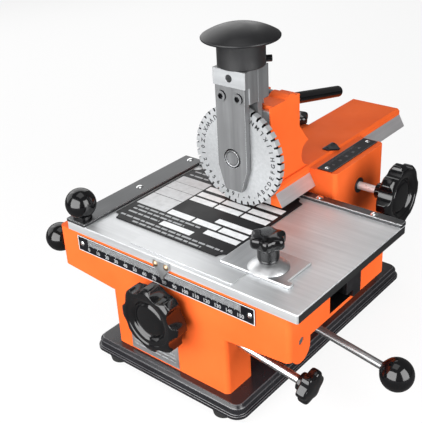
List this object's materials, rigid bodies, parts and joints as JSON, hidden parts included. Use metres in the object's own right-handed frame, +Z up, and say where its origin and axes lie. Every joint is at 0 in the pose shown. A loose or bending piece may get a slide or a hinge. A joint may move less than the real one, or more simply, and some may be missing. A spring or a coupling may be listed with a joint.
{
  "type": "nameplate marking machine",
  "caption": "Bench machine that presses characters into a metal nameplate: hand-turned type wheel on a sliding arm over a rack-driven table, on a cast bed and base plate.",
  "frame": {"origin": "middle of the whole machine's box, on the floor under the rubber feet", "axes": "+Z up, +X along the table's travel to the right, +Y from the front knob back along the arm"},
  "size_m": [0.315, 0.3232, 0.261],
  "materials": {
    "orange_paint": "smooth gloss enamel over casting",
    "black_paint": "semi-gloss enamel",
    "foot_rubber": "matt",
    "ground_steel": "ground",
    "dark_steel": "oil blackened",
    "chrome": "bright plate",
    "brass": "turned",
    "black_plastic": "moulded gloss",
    "scale_plate": "black print on sheet metal",
    "pale_plate": "satin sheet"
  },
  "bodies": {
    "frame": {"base_plate": "black_paint", "rubber_feet": "foot_rubber", "bed_casting": "orange_paint", "rear_support": "orange_paint", "rear_column": "orange_paint", "slide_gib": "dark_steel", "front_scale": "scale_plate", "column_scale": "scale_plate", "scale_rivets": "chrome", "data_plate": "pale_plate", "traverse_bushes": "brass", "feed_bushes": "dark_steel"},
    "table": {"table_plate": "ground_steel", "slide_bar": "ground_steel", "table_rack": "ground_steel", "left_rail": "ground_steel", "rail_knob": "black_plastic", "rear_fence": "ground_steel", "table_screws": "chrome", "table_pointer": "ground_steel", "pointer_screws": "brass", "nameplate": "scale_plate", "locating_strip": "pale_plate", "side_stop": "ground_steel", "clamp_stud": "dark_steel"},
    "clamp": {"clamp_flange": "chrome", "clamp_knob": "black_plastic"},
    "traverse": {"traverse_knob": "black_plastic", "traverse_shaft": "chrome", "traverse_pinion": "dark_steel", "ratchet_wheel": "dark_steel"},
    "step_lever": {"step_lever": "chrome", "step_lever_ball": "black_plastic"},
    "adjuster": {"adjuster_rod": "chrome", "adjuster_knob": "black_plastic"},
    "stop": {"stop_rod": "chrome", "stop_ball": "black_plastic"},
    "arm": {"arm_casting": "orange_paint", "guide_plate": "ground_steel", "arm_rack": "ground_steel", "arm_pointer": "scale_plate", "arm_pointer_screws": "brass", "lever_pin": "dark_steel", "clamp_pad": "brass", "return_spring": "ground_steel"},
    "clamp_lever": {"clamp_lever": "dark_steel", "lever_grip": "black_plastic"},
    "feed": {"feed_knob": "black_plastic", "feed_shaft": "chrome", "feed_pinion": "dark_steel"},
    "arm_lock": {"arm_lock_knob": "black_plastic"},
    "head": {"press_slide": "ground_steel", "fork_plate": "ground_steel", "fork_screws": "dark_steel", "wheel_axle": "ground_steel", "index_plunger": "brass", "press_knob": "black_plastic", "knob_lock_screw": "black_plastic"},
    "wheel": {"type_wheel": "ground_steel"}
  },
  "joints": [
    {"name": "table_slide", "type": "slide", "parent": "frame", "child": "table", "axis": [1, 0, 0], "range_m": [-0.08, 0.07]},
    {"name": "clamp_turn", "type": "hinge", "parent": "table", "child": "clamp", "pos_m": [0.05754, -0.10595, 0.13], "axis": [0, 0, 1], "continuous": true},
    {"name": "traverse_turn", "type": "hinge", "parent": "frame", "child": "traverse", "pos_m": [-0.01176, -0.14455, 0.0712], "axis": [0, 1, 0], "continuous": true},
    {"name": "step_lever_swing", "type": "hinge", "parent": "frame", "child": "step_lever", "pos_m": [-0.01176, -0.07755, 0.0712], "axis": [0, -1, 0], "range_deg": [0, 9]},
    {"name": "adjuster_turn", "type": "hinge", "parent": "frame", "child": "adjuster", "pos_m": [0.04374, -0.12455, 0.0551], "axis": [0.9885, 0, -0.1513], "continuous": true},
    {"name": "stop_slide", "type": "slide", "parent": "frame", "child": "stop", "axis": [1, 0, 0], "range_m": [-0.01, 0.005]},
    {"name": "arm_slide", "type": "slide", "parent": "frame", "child": "arm", "axis": [0, 1, 0], "range_m": [-0.03, 0.035]},
    {"name": "clamp_lever_swing", "type": "hinge", "parent": "arm", "child": "clamp_lever", "pos_m": [-0.01176, -0.00945, 0.1942], "axis": [1, 0, 0], "range_deg": [0, 20]},
    {"name": "line_feed_turn", "type": "hinge", "parent": "frame", "child": "feed", "pos_m": [0.04824, 0.04695, 0.1101], "axis": [1, 0, 0], "continuous": true},
    {"name": "arm_lock_turn", "type": "hinge", "parent": "frame", "child": "arm_lock", "pos_m": [-0.04976, 0.08095, 0.1338], "axis": [0, 0, 1], "continuous": true},
    {"name": "head_press", "type": "slide", "parent": "arm", "child": "head", "axis": [0, 0, -1], "range_m": [0, 0.0057], "stiffness_N_per_m": 8000, "springref_m": -0.006, "deforming": ["return_spring"]},
    {"name": "wheel_turn", "type": "hinge", "parent": "head", "child": "wheel", "pos_m": [-0.01176, -0.04775, 0.1609], "axis": [0, 1, 0], "continuous": true}
  ],
  "couplings": [
    {"joint": "traverse_turn", "follows": "table_slide", "rad_per_m": 71.429},
    {"joint": "line_feed_turn", "follows": "arm_slide", "rad_per_m": -111.11}
  ]
}
